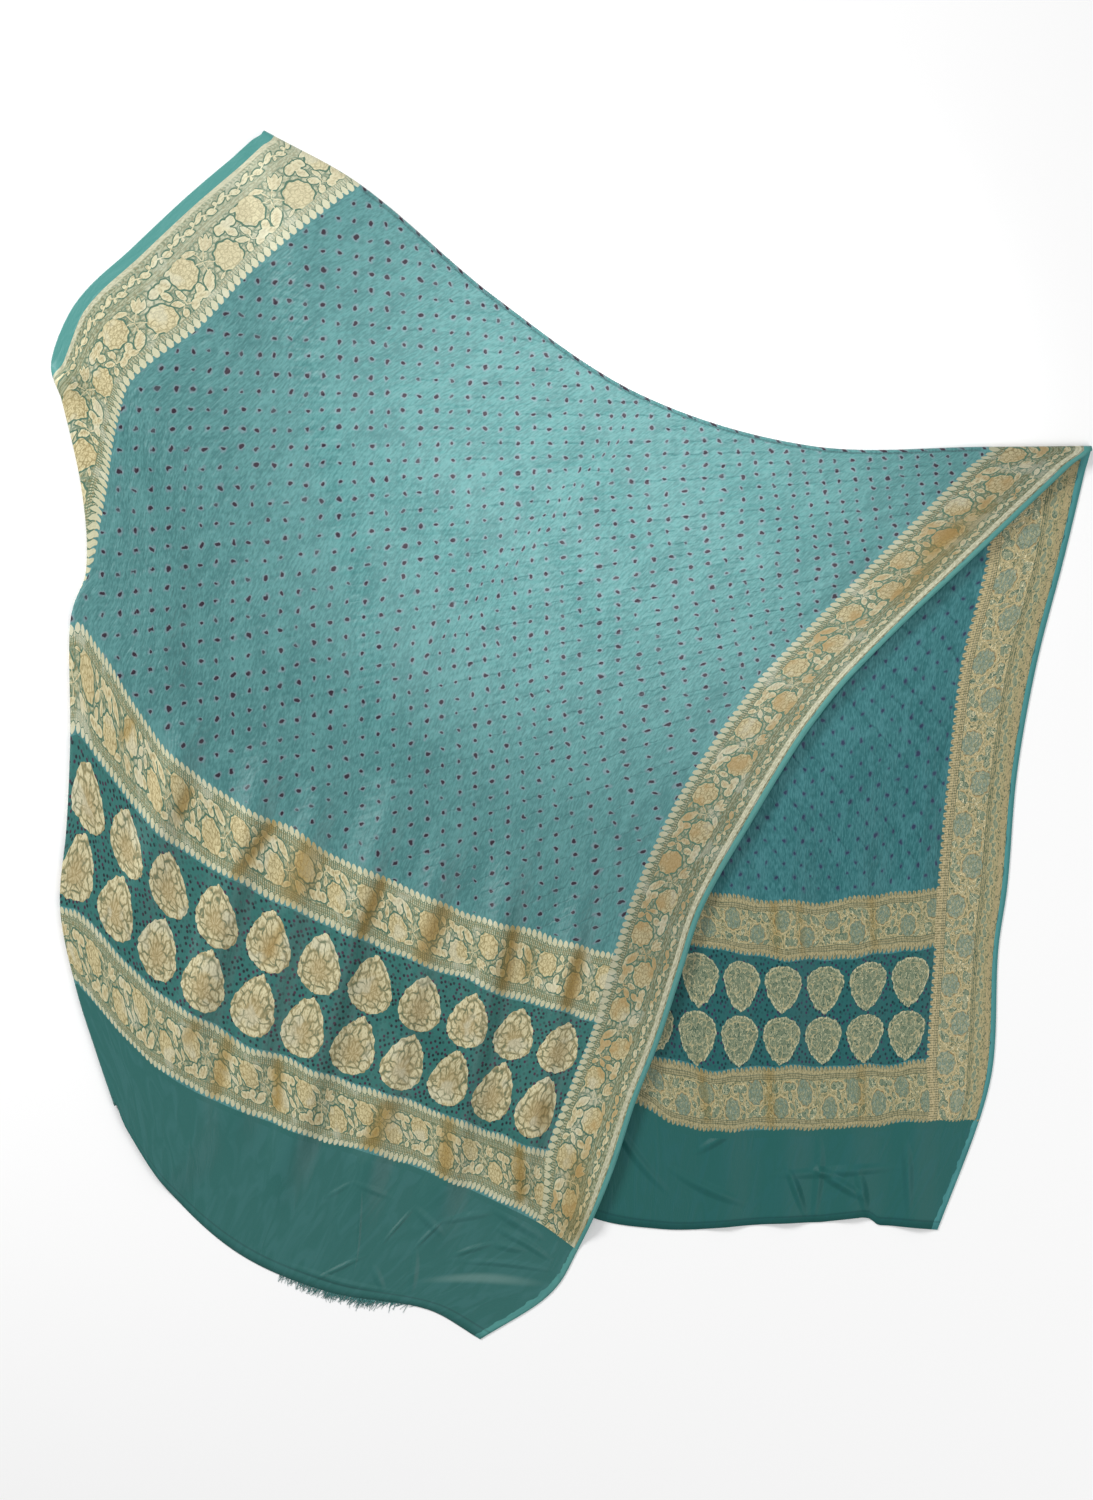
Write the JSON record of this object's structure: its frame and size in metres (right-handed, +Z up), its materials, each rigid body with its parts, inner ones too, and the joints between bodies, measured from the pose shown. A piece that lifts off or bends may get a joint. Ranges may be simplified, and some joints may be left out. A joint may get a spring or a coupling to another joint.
{
  "type": "bandhani dupatta cloth",
  "caption": "Length of teal crepe cloth with woven gold floral borders, patterned ends and tie-dyed dots, folded over across its length and laid out flat in soft folds.",
  "frame": {"origin": "middle of the laid-out cloth's bounding box, on the surface it lies on", "axes": "+Z up, away from the surface; +Y towards the folded-over ridge; +X towards the corner where the two layers meet"},
  "size_m": [1.1126, 1.2927, 0.0271],
  "materials": {
    "cloth": "teal crepe georgette with pale gold woven borders and maroon tie-dyed dots"
  },
  "bodies": {
    "root": {"cloth": "cloth"}
  },
  "joints": []
}
